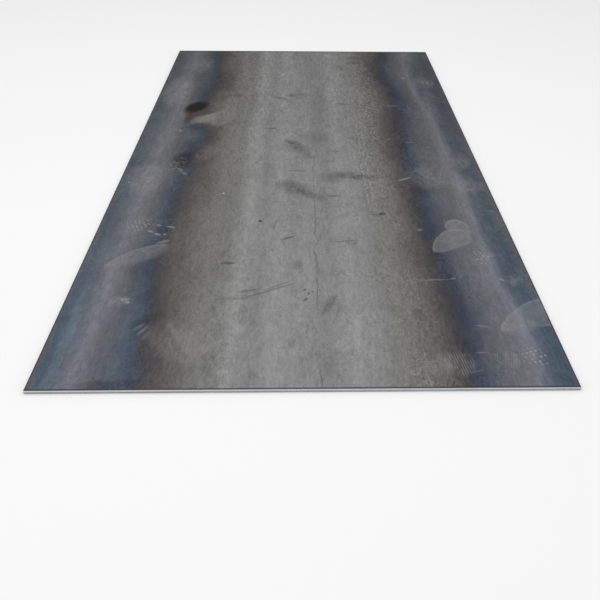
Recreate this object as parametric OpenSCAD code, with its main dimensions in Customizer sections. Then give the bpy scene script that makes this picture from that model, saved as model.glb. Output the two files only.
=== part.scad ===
// Hot-rolled steel plate, cut to length from coil.
// It lies flat with its underside on Z = 0. X runs across the plate and Y along the rolling direction.
// The two long sides keep the bulged edge of the rolling mill. The two ends are sheared.

/* [Plate] */
// Width across the rolling direction, over the bulged sides
plate_w = 1250; // [1000:10:2000]
// Length along the rolling direction, over the sheared ends
plate_l = 2500; // [1500:10:6000]
// Thickness
plate_t = 10; // [8:0.5:25]

/* [Rolled sides] */
// How far a side bulges out at mid thickness
side_bulge = 1.5; // [0.5:0.1:3]

/* [Sheared ends] */
// Radius of the corner that the shear blade pulled in
pull_in_r = 1.2; // [0.4:0.1:2]
// Height of the smooth band that the blade cut
cut_band_h = 2.8; // [1:0.1:4]
// Lean of the broken zone beyond the smooth band, away from upright
break_angle = 7; // [2:0.5:12]

/* [Hidden] */
// How far a cutting shape runs past the plate, so that no faces coincide
overcut = 2;
// Segments of a round edge
$fn = 64;
// Radius of the arc that spans the thickness and bulges by side_bulge
side_r = (pow(plate_t / 2, 2) + pow(side_bulge, 2)) / (2 * side_bulge);
// Depth at which the smooth band of a sheared end stops and the broken zone begins
break_start = pull_in_r + cut_band_h;
// How far the broken zone falls back from the smooth band
break_set_back = (plate_t - break_start) * tan(break_angle);
// Centre of the pulled-in corner of the near end, from the middle of the plate
pull_in_at = [-plate_l / 2 + pull_in_r, plate_t / 2 - pull_in_r];
// The near end seen from the side, from the top face down to the underside
near_end = [
    [pull_in_at[0], plate_t / 2],
    pull_in_at,
    [-plate_l / 2, pull_in_at[1]],
    [-plate_l / 2, plate_t / 2 - break_start],
    [-plate_l / 2 + break_set_back, -plate_t / 2]
];
// One blade makes both ends, so the far end is the near end turned half round
far_end = [for (point = near_end) [-point[0], -point[1]]];

// The whole plate seen from its side, about its middle.
module length_section() {
    polygon(concat(near_end, far_end));
    for (turn = [0, 180]) rotate(turn) translate(pull_in_at) circle(r = pull_in_r);
}

// What the rolls squeezed away around one bulged side, as a section across the plate.
module side_relief() {
    difference() {
        translate([plate_w / 2 - 2 * side_bulge, -plate_t / 2 - overcut])
            square([2 * side_bulge + 2 * overcut, plate_t + 2 * overcut]);
        translate([plate_w / 2 - side_r, 0]) circle(r = side_r);
    }
}

// The plate as one rolled piece: the length section carried across the width, less the side reliefs.
module plate() {
    color("#5b6066") translate([0, 0, plate_t / 2]) difference() {
        rotate([90, 0, 90]) translate([0, 0, -plate_w / 2 - overcut])
            linear_extrude(plate_w + 2 * overcut) length_section();
        for (side = [0, 1]) mirror([side, 0, 0])
            rotate([90, 0, 0]) translate([0, 0, -plate_l / 2 - overcut])
                linear_extrude(plate_l + 2 * overcut) side_relief();
    }
}

plate();
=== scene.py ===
"""A hot-rolled steel plate, lying flat on a pale studio floor.

The plate is one rolled piece. Its long sides keep the rounded edge of the rolling mill, its two ends are
sheared, and its faces carry blue-grey mill scale with bands of heat tint along the sides. The top face is
walked on and handled: it has smudges, scuffs, scratches, dried films and dusty sole prints.

Lengths are in metres, in the plate's own frame: X across the plate, Y along it with the near end at minus,
Z up, and the origin under the middle of the plate.
"""

import logging
import math
from dataclasses import dataclass
from enum import Enum
from functools import partial, reduce
from typing import Any, NamedTuple, Sequence, Union

import bpy
import numpy as np
from mathutils import Matrix, Vector

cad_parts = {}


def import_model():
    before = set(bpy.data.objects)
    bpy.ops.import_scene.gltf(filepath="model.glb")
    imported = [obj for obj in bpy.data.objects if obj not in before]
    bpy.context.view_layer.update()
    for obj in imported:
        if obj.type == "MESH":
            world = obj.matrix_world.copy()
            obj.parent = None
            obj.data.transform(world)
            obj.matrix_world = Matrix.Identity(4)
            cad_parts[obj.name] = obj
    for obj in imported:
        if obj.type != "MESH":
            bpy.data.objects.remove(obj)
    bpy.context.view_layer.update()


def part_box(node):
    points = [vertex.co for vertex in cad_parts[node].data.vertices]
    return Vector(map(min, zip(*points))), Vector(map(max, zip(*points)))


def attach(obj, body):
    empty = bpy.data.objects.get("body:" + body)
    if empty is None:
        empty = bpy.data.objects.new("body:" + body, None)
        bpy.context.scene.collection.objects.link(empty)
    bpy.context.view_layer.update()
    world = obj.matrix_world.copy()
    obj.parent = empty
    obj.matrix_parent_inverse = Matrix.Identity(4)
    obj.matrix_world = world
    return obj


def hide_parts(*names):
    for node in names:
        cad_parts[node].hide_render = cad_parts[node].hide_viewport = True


LOG = logging.getLogger("steel_plate")

Socket = bpy.types.NodeSocket
Number = Union[float, Socket]
Triple = Union[tuple[float, float, float], Socket]
Colour = tuple[float, float, float, float]

PLATE_NODE = "plate"
PLATE_BODY = "root"
MILLIMETRE = 0.001
EVEN = (1.0, 1.0, 1.0)


def seen(red: int, green: int, blue: int) -> Colour:
    """Turns a colour as a screen shows it into the linear values that shaders mix.

    Args:
        red: Red from 0 to 255.
        green: Green from 0 to 255.
        blue: Blue from 0 to 255.

    Returns:
        The linear red, green and blue, with full alpha.
    """
    shares = np.array([red, green, blue]) / 255.0
    low = shares / 12.92
    high = ((shares + 0.055) / 1.055) ** 2.4
    linear = np.where(shares <= 0.04045, low, high)
    return (float(linear[0]), float(linear[1]), float(linear[2]), 1.0)


class Region(Enum):
    """The kinds of surface on the plate, in the order of its material slots."""

    TOP = 0
    UNDERSIDE = 1
    SHEARED_END = 2
    MILL_EDGE = 3


class ScaleColour(Enum):
    """Colours of the mill scale, from the thin film at the sides to the thick one in the middle."""

    RIM = seen(88, 89, 93)
    SLATE = seen(82, 89, 98)
    TEAL = seen(73, 81, 90)
    DENIM = seen(85, 91, 99)
    HAZE = seen(95, 99, 105)
    SKY = seen(98, 117, 131)
    STEEL = seen(115, 116, 122)
    MAUVE = seen(101, 101, 105)
    STORM = seen(86, 89, 94)
    NAVY = seen(61, 70, 84)
    INK = seen(54, 61, 77)
    PLUM = seen(66, 65, 70)
    DUSK = seen(61, 60, 64)
    UMBER = seen(80, 76, 75)
    BROWN = seen(95, 91, 88)
    OLIVE = seen(110, 109, 105)
    ASH = seen(114, 114, 111)
    GREY = seen(122, 122, 122)
    DOVE = seen(128, 128, 129)
    PALE = seen(135, 135, 135)


class DirtColour(Enum):
    """Colours of what lies on the scale. The chalky pale also paints highlights, and the soot paints shade
    and a dark reflection too.
    """

    CHAR = seen(10, 10, 11)
    SOOT = seen(30, 30, 32)
    BURNT = seen(72, 64, 57)
    BUFF = seen(142, 141, 130)
    DUST = seen(152, 150, 149)
    CHALKY = seen(190, 190, 192)
    RUST = seen(112, 84, 66)


class EndColour(Enum):
    """Colours of the sheared ends. The pulled-in corner's colour also paints the shade along the top face's
    borders.
    """

    CUT = seen(205, 207, 210)
    BROKEN = seen(168, 168, 169)
    PULLED = seen(56, 57, 60)


@dataclass(frozen=True)
class TintBand:
    """One colour of the heat tint.

    Attributes:
        distance: Distance from the plate's side at which the colour is pure.
        colour: The colour there.
    """

    distance: float
    colour: ScaleColour


@dataclass(frozen=True)
class Mark:
    """An oval mark on the top face.

    Attributes:
        x: Place of its middle across the plate.
        y: Place of its middle along the plate.
        long: Half its length.
        wide: Half its width.
        turn: Angle of its length from the X axis, in degrees.
        strength: How strongly it shows. A shift of the tint bands is in metres, and the rest are shares.
        edge: Share of its half size over which it fades out.
    """

    x: float
    y: float
    long: float
    wide: float
    turn: float = 0.0
    strength: float = 1.0
    edge: float = 0.6

    def sockets(self) -> dict[str, float]:
        """Values for the inputs of the node group that draws the mark."""
        return {
            "Middle X": self.x,
            "Middle Y": self.y,
            "Turn": math.radians(self.turn),
            "Half Length": self.long,
            "Half Width": self.wide,
            "Edge": self.edge,
            "Strength": self.strength,
        }


@dataclass(frozen=True)
class Film(Mark):
    """A film that dried on the face, crisp along one side of its length.

    Attributes:
        fade: Share of its half size over which the other side fades out.
        widen: How much wider its far end is than its middle, as a share.
    """

    fade: float = 0.1
    widen: float = 0.0

    def sockets(self) -> dict[str, float]:
        """Values for the inputs of the node group that draws the film."""
        return super().sockets() | {"Fade": self.fade, "Widen": self.widen}


class Slope(NamedTuple):
    """A smooth change from one number to another as a value passes a stretch.

    Attributes:
        start: Where the change starts.
        end: Where it ends.
        first: The result up to start.
        last: The result from end.
    """

    start: float
    end: float
    first: float = 0.0
    last: float = 1.0


@dataclass(frozen=True)
class Lumps:
    """Smooth noise, with lumps that may be drawn out along some axes.

    Attributes:
        per_metre: Lumps in each metre.
        detail: Octaves of finer lumps.
        roughness: Share that each finer octave keeps.
        drag: How far the lumps are dragged about.
        share: Share of the scale along X, Y and Z. A small share draws the lumps out.
    """

    per_metre: Number
    detail: float = 3.0
    roughness: float = 0.5
    drag: float = 0.0
    share: tuple[float, float, float] = EVEN


@dataclass(frozen=True)
class JaggedLine:
    """A line along the plate that noise bends to and fro.

    Attributes:
        x: Its mean place across the plate.
        sway: How far it strays at most to either side.
        per_metre: Its bends in each metre.
        jagged: Share of each bend that every finer bend keeps.
        detail: Octaves of finer bends.
    """

    x: float
    sway: float
    per_metre: float
    jagged: float
    detail: float = 6.0

    @property
    def bends(self) -> Lumps:
        """The noise along the plate that bends the line."""
        return Lumps(self.per_metre, self.detail, self.jagged, share=(0.0, 1.0, 0.0))


LEFT_BANDS = (
    TintBand(0.000, ScaleColour.RIM),
    TintBand(0.022, ScaleColour.SLATE),
    TintBand(0.056, ScaleColour.HAZE),
    TintBand(0.100, ScaleColour.STEEL),
    TintBand(0.138, ScaleColour.MAUVE),
    TintBand(0.170, ScaleColour.STORM),
    TintBand(0.211, ScaleColour.NAVY),
    TintBand(0.233, ScaleColour.PLUM),
    TintBand(0.260, ScaleColour.UMBER),
    TintBand(0.300, ScaleColour.BROWN),
    TintBand(0.350, ScaleColour.OLIVE),
    TintBand(0.405, ScaleColour.ASH),
    TintBand(0.446, ScaleColour.PALE),
    TintBand(0.494, ScaleColour.GREY),
    TintBand(0.546, ScaleColour.PALE),
    TintBand(0.585, ScaleColour.DOVE),
    TintBand(0.625, ScaleColour.DOVE),
)

RIGHT_BANDS = (
    TintBand(0.000, ScaleColour.RIM),
    TintBand(0.040, ScaleColour.TEAL),
    TintBand(0.074, ScaleColour.DENIM),
    TintBand(0.102, ScaleColour.STEEL),
    TintBand(0.138, ScaleColour.MAUVE),
    TintBand(0.186, ScaleColour.STORM),
    TintBand(0.236, ScaleColour.INK),
    TintBand(0.263, ScaleColour.DUSK),
    TintBand(0.297, ScaleColour.UMBER),
    TintBand(0.327, ScaleColour.BROWN),
    TintBand(0.376, ScaleColour.OLIVE),
    TintBand(0.408, ScaleColour.ASH),
    TintBand(0.436, ScaleColour.GREY),
    TintBand(0.498, ScaleColour.PALE),
    TintBand(0.552, ScaleColour.GREY),
    TintBand(0.625, ScaleColour.DOVE),
)

BAND_SHIFTS = (
    Mark(-0.390, 0.165, 0.080, 0.092, 0, -0.029, 0.9),
    Mark(-0.330, 0.450, 0.120, 0.140, 0, 0.040, 1.0),
    Mark(-0.430, -0.550, 0.160, 0.420, 0, 0.018, 0.8),
    Mark(-0.340, -1.220, 0.100, 0.160, 0, -0.024, 0.9),
    Mark(-0.380, 0.590, 0.110, 0.120, 0, 0.017, 0.9),
    Mark(-0.370, 0.830, 0.110, 0.140, 0, -0.006, 0.9),
    Mark(-0.370, 1.190, 0.110, 0.300, 0, 0.021, 0.9),
    Mark(0.500, 0.850, 0.060, 0.450, 0, -0.034, 0.9),
    Mark(0.380, 0.920, 0.120, 0.240, 0, -0.009, 0.9),
    Mark(0.380, 1.220, 0.120, 0.170, 0, 0.018, 0.9),
    Mark(0.385, 0.500, 0.120, 0.340, 0, 0.017, 0.9),
    Mark(0.380, 0.000, 0.120, 0.130, 0, -0.010, 0.9),
    Mark(0.290, 1.000, 0.070, 0.340, 0, -0.024, 0.9),
    Mark(0.280, 0.050, 0.060, 0.400, 0, -0.015, 0.9),
    Mark(0.380, -1.050, 0.120, 0.450, 0, 0.015, 0.9),
    Mark(0.565, -1.120, 0.090, 0.320, 0, 0.022, 0.9),
)

BLUE_GLINTS = (
    Mark(-0.578, -1.090, 0.018, 0.320, 0, 0.42, 1.0),
    Mark(-0.430, -1.120, 0.036, 0.240, 0, 0.16, 1.0),
)

WEDGE = Film(-0.345, 0.332, 0.116, 0.086, 16, 1.0, 0.20, 0.95, 0.65)

# A buff patch, a dark oval and black spots in the left tint bands, in colour only.
BUFF_PATCH = Film(-0.408, 0.336, 0.072, 0.044, 46, 1.0, 0.55, 1.0, 0.60)

DARK_OVAL = Mark(-0.438, 0.449, 0.100, 0.054, 80, 0.94, 0.40)

BLACK_SPOTS = (
    Mark(-0.446, 0.472, 0.088, 0.054, 66, 1.1, 0.80),
    Mark(-0.464, 0.345, 0.080, 0.022, 86, 0.44, 1.0),
    Mark(-0.432, 0.252, 0.050, 0.026, -10, 0.24, 1.0),
)

# A sole print whose dark oval is a painted dark reflection of the print's gloss.
PEBBLE_PRINT = Mark(-0.432, -0.050, 0.096, 0.048, 86, 0.70, 0.65)

PEBBLE_SPECKS = Mark(-0.446, -0.085, 0.072, 0.036, 84, 0.50, 0.9)

SMUDGES = (
    Mark(-0.020, 0.622, 0.060, 0.028, 12, 0.26, 0.9),
    Mark(-0.055, 0.605, 0.030, 0.030, 0, 0.20, 0.9),
    Mark(0.046, 0.160, 0.074, 0.080, 0, 0.22, 1.0),
    Mark(-0.052, 0.076, 0.052, 0.070, 0, 0.20, 1.0),
    Mark(-0.044, 0.112, 0.048, 0.026, -28, 0.26, 0.9),
    Mark(-0.012, 0.052, 0.076, 0.036, -62, 0.26, 0.9),
    Mark(0.016, -0.016, 0.038, 0.026, -30, 0.18, 0.9),
    Mark(0.098, -0.186, 0.062, 0.056, 30, 0.28, 0.9),
    Mark(0.160, -0.170, 0.060, 0.036, -16, 0.36, 0.9),
    Mark(0.212, -0.188, 0.066, 0.030, 0, 0.26, 0.9),
    Mark(-0.038, -0.262, 0.084, 0.056, -42, 0.34, 0.7),
    Mark(-0.010, -0.292, 0.070, 0.028, -36, 0.14, 0.9),
    Mark(0.034, -0.328, 0.056, 0.026, -24, 0.28, 0.8),
    Mark(0.068, -0.930, 0.074, 0.022, 64, 0.12, 0.9),
    Mark(-0.019, -0.742, 0.021, 0.032, 0, 0.28, 1.0),
    Mark(0.250, 1.140, 0.050, 0.040, 0, 0.34, 1.0),
    Mark(0.245, 1.070, 0.044, 0.036, 0, 0.34, 1.0),
    Mark(-0.280, 0.610, 0.034, 0.024, -50, 0.24, 1.0),
    Mark(0.030, 1.000, 0.038, 0.260, 0, 0.12, 1.0),
    Mark(0.060, 0.500, 0.034, 0.300, 0, 0.14, 1.0),
    Mark(-0.394, -0.995, 0.064, 0.034, 40, 0.26, 0.9),
    Mark(-0.455, -1.232, 0.090, 0.022, 2, 0.36, 1.0),
    Mark(-0.424, -0.552, 0.024, 0.030, 0, 0.42, 1.0),
    Mark(0.592, 0.860, 0.050, 0.600, 0, 0.16, 1.0),
    Mark(-0.475, 0.950, 0.040, 0.420, 0, 0.14, 1.0),
)

SCUFFS = (
    Mark(-0.098, 0.582, 0.046, 0.010, -32, 0.36, 0.9),
    Mark(-0.072, 0.556, 0.050, 0.009, -52, 0.32, 0.9),
    Mark(0.165, 0.512, 0.036, 0.012, -14, 0.40, 0.9),
    Mark(-0.150, 0.245, 0.050, 0.006, 0, 0.34, 0.9),
    Mark(-0.118, 0.246, 0.018, 0.010, 30, 0.28, 0.9),
    Mark(0.180, 0.148, 0.040, 0.007, -24, 0.26, 0.9),
    Mark(0.115, 0.028, 0.022, 0.008, 0, 0.34, 0.8),
    Mark(0.080, -0.060, 0.040, 0.005, 2, 0.26, 0.9),
    Mark(-0.022, -0.136, 0.048, 0.006, -6, 0.34, 0.9),
    Mark(0.100, -0.324, 0.030, 0.007, -2, 0.46, 0.8),
    Mark(0.247, -0.446, 0.014, 0.010, 12, 0.66, 0.7),
    Mark(0.224, -0.449, 0.020, 0.004, 6, 0.34, 0.8),
    Mark(-0.045, -0.592, 0.022, 0.006, 20, 0.56, 0.7),
    Mark(-0.060, -0.602, 0.012, 0.004, 35, 0.40, 0.7),
    Mark(-0.215, -0.732, 0.032, 0.009, 6, 0.44, 0.8),
    Mark(-0.136, -0.492, 0.008, 0.010, 0, 0.80, 0.6),
    Mark(-0.098, -0.868, 0.098, 0.006, 27, 0.42, 0.9),
    Mark(-0.070, -0.842, 0.050, 0.005, 30, 0.34, 0.8),
    Mark(-0.150, -0.866, 0.040, 0.006, 13, 0.38, 0.8),
    Mark(-0.190, -0.902, 0.080, 0.004, 2, 0.20, 0.9),
    Mark(0.125, -0.612, 0.052, 0.006, 9, 0.30, 0.9),
    Mark(-0.085, -0.500, 0.060, 0.004, 80, 0.20, 0.9),
    Mark(0.002, -0.862, 0.008, 0.004, 60, 0.60, 0.9),
    Mark(0.011, -0.880, 0.010, 0.004, 80, 0.60, 0.9),
    Mark(0.003, -0.906, 0.012, 0.005, 50, 0.56, 0.9),
    Mark(0.022, -0.872, 0.008, 0.003, 70, 0.50, 0.9),
    Mark(0.440, -0.830, 0.056, 0.005, -84, 0.20, 0.9),
    Mark(0.057, -0.940, 0.062, 0.006, 70, 0.22, 0.9),
    Mark(0.071, -0.925, 0.060, 0.006, 72, 0.26, 0.9),
    Mark(0.086, -0.955, 0.040, 0.005, 78, 0.16, 0.9),
)

SCRATCHES = (
    Mark(-0.088, -0.066, 0.068, 0.0022, 0, 0.26, 0.6),
    Mark(-0.152, -0.066, 0.008, 0.0030, 0, 0.36, 0.8),
    Mark(0.358, -0.818, 0.058, 0.0032, 2, 0.16, 0.7),
    Mark(0.408, -0.813, 0.010, 0.0040, 12, 0.20, 0.8),
    Mark(0.375, 0.490, 0.038, 0.0060, 4, 0.14, 0.9),
    Mark(0.345, -0.200, 0.036, 0.0090, 30, 0.22, 0.9),
    Mark(0.353, -0.546, 0.014, 0.0090, 30, 0.14, 0.9),
    Mark(0.565, 0.782, 0.032, 0.0050, 80, 0.13, 0.9),
    Mark(0.546, 0.790, 0.028, 0.0045, 84, 0.11, 0.9),
    Mark(0.587, 0.776, 0.028, 0.0045, 78, 0.11, 0.9),
    Mark(-0.413, -0.160, 0.018, 0.0110, -50, 0.16, 0.9),
    Mark(-0.432, -0.130, 0.024, 0.0090, -60, 0.16, 0.9),
    Mark(-0.443, -0.517, 0.010, 0.0060, -20, 0.28, 0.9),
    Mark(-0.405, -0.528, 0.019, 0.0050, -22, 0.30, 0.9),
    Mark(-0.462, -0.555, 0.013, 0.0070, -28, 0.28, 0.9),
    Mark(-0.438, -0.570, 0.014, 0.0060, -28, 0.32, 0.9),
    Mark(-0.417, -0.572, 0.006, 0.0060, 0, 0.30, 0.9),
    Mark(0.325, 0.140, 0.018, 0.0070, 40, 0.12, 0.9),
    Mark(0.402, 0.110, 0.026, 0.0070, 10, 0.10, 0.9),
    Mark(0.430, -0.790, 0.040, 0.0050, -86, 0.06, 0.9),
    Mark(0.594, -0.428, 0.020, 0.0040, -6, 0.18, 0.8),
    Mark(0.542, -0.819, 0.012, 0.0060, -40, 0.26, 0.9),
    Mark(-0.322, -1.043, 0.050, 0.0110, -62, 0.07, 1.0),
    Mark(-0.284, -1.108, 0.036, 0.0110, -56, 0.07, 1.0),
    Mark(-0.225, -1.100, 0.050, 0.0110, 50, 0.06, 1.0),
    Mark(-0.412, -1.022, 0.022, 0.0075, 52, 0.12, 1.0),
    Mark(-0.400, -1.036, 0.028, 0.0075, 60, 0.14, 1.0),
    Mark(-0.386, -1.054, 0.024, 0.0075, 66, 0.09, 1.0),
    Mark(-0.470, -0.904, 0.016, 0.0080, 10, 0.22, 1.0),
    Mark(-0.460, -0.918, 0.010, 0.0080, -60, 0.26, 1.0),
    Mark(-0.400, -0.730, 0.030, 0.0040, -36, 0.06, 0.9),
    Mark(0.446, -1.024, 0.024, 0.0040, -14, 0.16, 0.9),
    Mark(0.421, -1.129, 0.022, 0.0035, 3, 0.14, 0.9),
    Mark(0.400, -1.194, 0.020, 0.0035, 16, 0.10, 0.9),
)

DUST_PATCHES = (
    Mark(0.440, -0.180, 0.100, 0.120, 0, 0.28, 1.0),
    Mark(0.555, -0.250, 0.060, 0.070, 0, 0.32, 1.0),
    Mark(0.570, -0.060, 0.040, 0.090, 0, 0.24, 1.0),
    Mark(-0.486, -0.912, 0.040, 0.030, 20, 0.34, 1.0),
    Mark(-0.185, -0.170, 0.060, 0.340, 0, 0.12, 1.0),
    Mark(-0.540, -0.200, 0.080, 0.140, 0, 0.30, 1.0),
    Mark(-0.090, -0.900, 0.080, 0.080, 0, 0.20, 1.0),
    Mark(-0.085, -1.110, 0.050, 0.090, 0, 0.16, 1.0),
    Mark(0.308, -1.180, 0.050, 0.050, 0, 0.26, 1.0),
    Mark(0.540, 0.780, 0.070, 0.090, 0, 0.18, 1.0),
    Mark(-0.550, 0.660, 0.080, 0.240, 0, 0.30, 1.0),
    Mark(-0.480, 1.020, 0.060, 0.140, 0, 0.20, 1.0),
    Mark(-0.300, -1.080, 0.080, 0.110, 40, 0.20, 1.0),
)

SPECKS = (
    Mark(-0.265, -0.306, 0.005, 0.006, 0, 0.7, 0.8),
    Mark(-0.181, 0.876, 0.006, 0.010, 0, 0.4, 0.8),
    Mark(-0.095, 0.890, 0.006, 0.010, 0, 0.5, 0.8),
    Mark(0.462, 0.842, 0.010, 0.012, 0, 0.26, 0.9),
    Mark(-0.479, 0.218, 0.006, 0.010, 0, 0.3, 0.9),
    Mark(-0.497, 0.226, 0.005, 0.008, 0, 0.2, 0.9),
    Mark(-0.590, -0.226, 0.004, 0.005, 0, 0.5, 0.8),
    Mark(-0.049, -0.416, 0.004, 0.006, 0, 0.5, 0.8),
)

DRY_FILMS = (
    Film(0.432, -0.614, 0.086, 0.046, 46, 0.28, 0.08, 0.14, 0.45),
    Film(0.472, -0.540, 0.042, 0.062, 6, 0.26, 0.10, 0.40, 0.0),
    Film(-0.474, -0.698, 0.110, 0.042, 37, 0.24, 0.08, 0.95, 0.1),
    Film(-0.440, -0.652, 0.036, 0.022, 35, 0.24, 0.15, 0.30, 0.1),
    Film(-0.415, -0.614, 0.026, 0.009, 26, 0.30, 0.40, 0.60, 0.0),
    Film(0.580, -0.990, 0.118, 0.046, 40, 0.24, 0.06, 0.70, 0.1),
    Film(0.608, -0.984, 0.060, 0.040, 212, 0.16, 0.08, 0.90, 0.0),
)

STUD_PRINTS = (
    Mark(0.509, -0.707, 0.042, 0.046, 20, 0.70, 0.6),
    Mark(0.548, -1.146, 0.036, 0.046, 20, 0.70, 0.6),
    Mark(-0.507, -0.512, 0.042, 0.054, -20, 0.62, 0.6),
)

BAR_PRINTS = (
    Mark(0.358, -1.169, 0.050, 0.052, 8, 0.36, 0.5),
    Mark(0.480, -1.150, 0.042, 0.034, -14, 0.32, 0.5),
)

FAN_PRINTS = (
    Mark(-0.362, 0.004, 0.046, 0.104, -24, 0.24, 0.9),
    Mark(0.577, -0.822, 0.044, 0.026, 70, 0.34, 0.9),
)

WORM_PLACES = (
    Mark(0.240, 0.000, 0.090, 0.700, 0, 0.9, 0.9),
    Mark(0.270, 0.720, 0.080, 0.480, 0, 0.9, 0.9),
    Mark(0.280, -0.700, 0.090, 0.500, 0, 0.30, 0.9),
    Mark(0.290, -1.200, 0.080, 0.110, 0, 0.80, 0.9),
    Mark(0.120, -0.950, 0.300, 0.320, 0, 0.30, 0.9),
)


CRACK = JaggedLine(0.034, 0.026, 11.0, 0.62)

RIDGES = (
    JaggedLine(0.205, 0.056, 13.0, 0.74),
    JaggedLine(0.222, 0.050, 17.0, 0.74),
)


class NodeSketch:
    """Draws nodes into one node tree, so that a formula reads as a line of code."""

    def __init__(self, tree: bpy.types.NodeTree) -> None:
        """Starts on a tree.

        Args:
            tree: The tree that takes the nodes.
        """
        self.tree = tree

    def node(self, kind: str, **settings: Any) -> bpy.types.Node:
        """Adds one node.

        Args:
            kind: The node's Blender type.
            **settings: Properties to set on it.

        Returns:
            The new node.
        """
        made = self.tree.nodes.new(kind)
        for name, value in settings.items():
            setattr(made, name, value)
        return made

    def feed(self, socket: Socket, value: Any) -> None:
        """Links a socket into another, or sets it to a plain value.

        Args:
            socket: The input to feed.
            value: An output socket or a value.
        """
        if isinstance(value, bpy.types.NodeSocket):
            self.tree.links.new(value, socket)
        else:
            socket.default_value = value

    def fill(self, node: bpy.types.Node, values: dict[str, Any]) -> bpy.types.Node:
        """Feeds several inputs of a node by their names, and hands the node back."""
        for name, value in values.items():
            self.feed(node.inputs[name], value)
        return node

    def math(self, operation: str, *values: Number) -> Socket:
        """Works out one number from others.

        Args:
            operation: Blender's name of the operation.
            *values: What it works on.

        Returns:
            The result.
        """
        made = self.node("ShaderNodeMath", operation=operation)
        for socket, value in zip(made.inputs, values):
            self.feed(socket, value)
        return made.outputs[0]

    def total(self, *values: Number) -> Number:
        """Adds numbers up, one after the other."""
        return reduce(partial(self.math, "ADD"), values)

    def product(self, *values: Number) -> Number:
        """Multiplies numbers, one after the other."""
        return reduce(partial(self.math, "MULTIPLY"), values)

    def vector(self, operation: str, *values: Triple) -> Socket:
        """Works out one vector from others.

        Args:
            operation: Blender's name of the operation.
            *values: What it works on.

        Returns:
            The vector.
        """
        made = self.node("ShaderNodeVectorMath", operation=operation)
        for socket, value in zip(made.inputs, values):
            self.feed(socket, value)
        return made.outputs[0]

    def axes(self, vector: Socket) -> tuple[Socket, Socket, Socket]:
        """Splits a vector into its three numbers.

        Args:
            vector: The vector.

        Returns:
            The numbers on X, Y and Z.
        """
        made = self.node("ShaderNodeSeparateXYZ")
        self.feed(made.inputs[0], vector)
        return made.outputs[0], made.outputs[1], made.outputs[2]

    def ease(self, value: Number, start: Number, end: Number,
             first: Number = 0.0, last: Number = 1.0) -> Socket:
        """Goes smoothly from one number to another as a value passes a stretch.

        Args:
            value: The value that is read.
            start: Where the change starts.
            end: Where it ends.
            first: The result up to start.
            last: The result from end.

        Returns:
            The eased number.
        """
        made = self.node("ShaderNodeMapRange", interpolation_type="SMOOTHSTEP", clamp=True)
        for socket, number in zip(made.inputs, (value, start, end, first, last)):
            self.feed(socket, number)
        return made.outputs[0]

    def noise(self, position: Socket, lumps: Lumps) -> bpy.types.Node:
        """Adds smooth noise over a position.

        Args:
            position: Where it is read.
            lumps: The noise's values.

        Returns:
            The noise node, with its number on Fac and three numbers on Color, all about a half.
        """
        if lumps.share != EVEN:
            position = self.vector("MULTIPLY", position, lumps.share)
        return self.fill(self.node("ShaderNodeTexNoise", noise_dimensions="3D"), {
            "Vector": position,
            "Scale": lumps.per_metre,
            "Detail": lumps.detail,
            "Roughness": lumps.roughness,
            "Distortion": lumps.drag,
        })

    def lump(self, position: Socket, lumps: Lumps) -> Socket:
        """The number of a smooth noise, about a half."""
        return self.noise(position, lumps).outputs["Fac"]

    def cells(self, position: Socket, scale: Number, randomness: float = 1.0) -> bpy.types.Node:
        """Adds the distance to scattered points on the face.

        Args:
            position: Where it is read.
            scale: Points in each metre.
            randomness: How far the points leave a square grid.

        Returns:
            The node, with the distance in cells on Distance and a colour for each cell on Color.
        """
        made = self.node("ShaderNodeTexVoronoi", voronoi_dimensions="2D", feature="F1")
        return self.fill(made, {"Vector": position, "Scale": scale, "Randomness": randomness})

    def ramp(self, value: Socket, stops: Sequence[tuple[float, Colour]]) -> Socket:
        """Reads a run of colours.

        Args:
            value: Where the run is read, from 0 to 1.
            stops: Places and colours, in order.

        Returns:
            The colour.
        """
        made = self.node("ShaderNodeValToRGB")
        elements = made.color_ramp.elements
        elements[0].position, elements[0].color = stops[0]
        elements[1].position, elements[1].color = stops[-1]
        for place, colour in stops[1:-1]:
            elements.new(place).color = colour
        self.feed(made.inputs[0], value)
        return made.outputs[0]

    def blend(self, share: Number, under: Any, over: Any) -> Socket:
        """Lays one colour over another.

        Args:
            share: How much of the upper colour shows.
            under: The lower colour.
            over: The upper colour.

        Returns:
            The mixed colour.
        """
        made = self.node("ShaderNodeMix", data_type="RGBA")
        self.feed(made.inputs[0], share)
        self.feed(made.inputs[6], under)
        self.feed(made.inputs[7], over)
        return made.outputs[2]

    def dim(self, colour: Any, gain: Socket) -> Socket:
        """Multiplies a colour by a number.

        Args:
            colour: The colour.
            gain: The number.

        Returns:
            The lighter or darker colour.
        """
        made = self.node("ShaderNodeVectorMath", operation="SCALE")
        self.feed(made.inputs[0], colour[:3] if isinstance(colour, tuple) else colour)
        self.feed(made.inputs["Scale"], gain)
        return made.outputs[0]

    def use(self, group: bpy.types.NodeTree, **values: Any) -> bpy.types.Node:
        """Places a node group.

        Args:
            group: The group.
            **values: What its inputs get. An underscore in a name stands for a space.

        Returns:
            The group's node.
        """
        made = self.node("ShaderNodeGroup", node_tree=group)
        return self.fill(made, {name.replace("_", " "): value for name, value in values.items()})


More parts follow.
